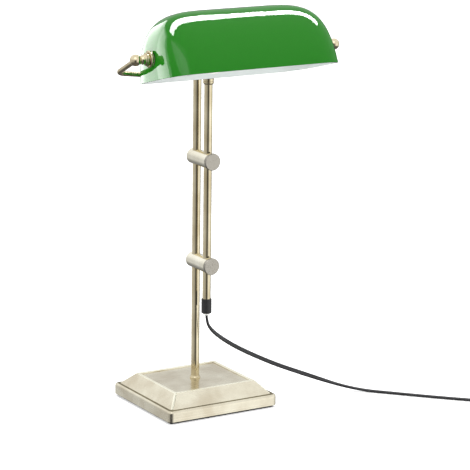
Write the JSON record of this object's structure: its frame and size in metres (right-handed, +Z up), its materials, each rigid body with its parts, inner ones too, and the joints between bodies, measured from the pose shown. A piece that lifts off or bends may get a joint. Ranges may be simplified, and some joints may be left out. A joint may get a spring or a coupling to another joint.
{
  "type": "banker desk lamp",
  "caption": "Desk lamp with a stepped square base, a twin-rod height-adjustable column and a tilting green cased-glass shade on a yoke.",
  "frame": {"origin": "centre of the base's underside, on the surface that the lamp stands on", "axes": "+Z up along the rods, X along the shade's long axis, -Y towards the shade's side (the front)"},
  "size_m": [0.5363, 0.277, 0.4925],
  "materials": {
    "antique_brass": "brushed, lacquered antique brass",
    "green_glass": "gloss, cased",
    "white_glass": "gloss opal",
    "black_plastic": "fine satin",
    "clear_plastic": "translucent",
    "phenolic": "semi-gloss moulded",
    "foam_pad": "matt foam",
    "cast_iron": "as cast",
    "zinc_steel": "zinc plated",
    "nickel_brass": "nickel plated",
    "opal_bulb": "satin opal",
    "fibre": "matt",
    "flex_black": "satin PVC",
    "wire_insulation": "satin"
  },
  "bodies": {
    "base": {"base_shell": "antique_brass", "base_pad": "foam_pad", "base_ballast": "cast_iron", "post_tube": "antique_brass", "post_foot_collar": "antique_brass", "post_washer": "zinc_steel", "post_nut": "zinc_steel", "post_top_cap": "antique_brass", "upper_crossbar": "antique_brass", "lower_crossbar": "antique_brass", "crossbar_screws": "zinc_steel", "cord_lead": "flex_black", "cord_coil": "flex_black", "cord_tail": "flex_black", "coil_tie": "black_plastic", "plug_body": "black_plastic", "plug_pins": "nickel_brass"},
    "upper_knob": {"upper_clamp_knob": "antique_brass"},
    "lower_knob": {"lower_clamp_knob": "antique_brass"},
    "column": {"column_tube": "antique_brass", "column_collar": "antique_brass", "swivel_spindle": "zinc_steel", "swivel_stem": "zinc_steel", "swivel_nut": "zinc_steel", "cable_cap": "black_plastic", "cord_bushing": "clear_plastic", "column_wires": "wire_insulation"},
    "yoke": {"yoke_hub": "antique_brass", "hub_cap": "antique_brass", "left_arm": "antique_brass", "right_arm": "antique_brass", "arm_wires": "wire_insulation", "left_pivot_ball": "antique_brass", "right_pivot_ball": "antique_brass"},
    "shade": {"shade_green_glass": "green_glass", "shade_white_lining": "white_glass", "left_flange": "antique_brass", "right_flange": "antique_brass", "left_outer_washer": "fibre", "right_outer_washer": "fibre", "left_inner_washer": "fibre", "right_inner_washer": "fibre", "left_inner_nut": "zinc_steel", "right_inner_nut": "zinc_steel", "left_nipple": "zinc_steel", "right_nipple": "zinc_steel", "lampholder_cap": "phenolic", "lampholder_shell": "phenolic", "bulb_cap": "nickel_brass", "bulb_globe": "opal_bulb"}
  },
  "joints": [
    {"name": "column_slide", "type": "slide", "parent": "base", "child": "column", "axis": [0, 0, 1], "range_m": [-0.045, 0.031], "deforming": ["cord_lead"]},
    {"name": "head_swivel", "type": "hinge", "parent": "column", "child": "yoke", "pos_m": [0, -0.02575, 0.403], "axis": [0, 0, 1], "range_deg": [-60, 60]},
    {"name": "shade_tilt", "type": "hinge", "parent": "yoke", "child": "shade", "pos_m": [0, -0.0896, 0.4423], "axis": [1, 0, 0], "range_deg": [-60, 1]},
    {"name": "upper_knob_turn", "type": "hinge", "parent": "base", "child": "upper_knob", "pos_m": [0, -0.036, 0.304], "axis": [0, -1, 0], "range_deg": [0, 330]},
    {"name": "lower_knob_turn", "type": "hinge", "parent": "base", "child": "lower_knob", "pos_m": [0, -0.036, 0.177], "axis": [0, -1, 0], "range_deg": [0, 330]}
  ]
}
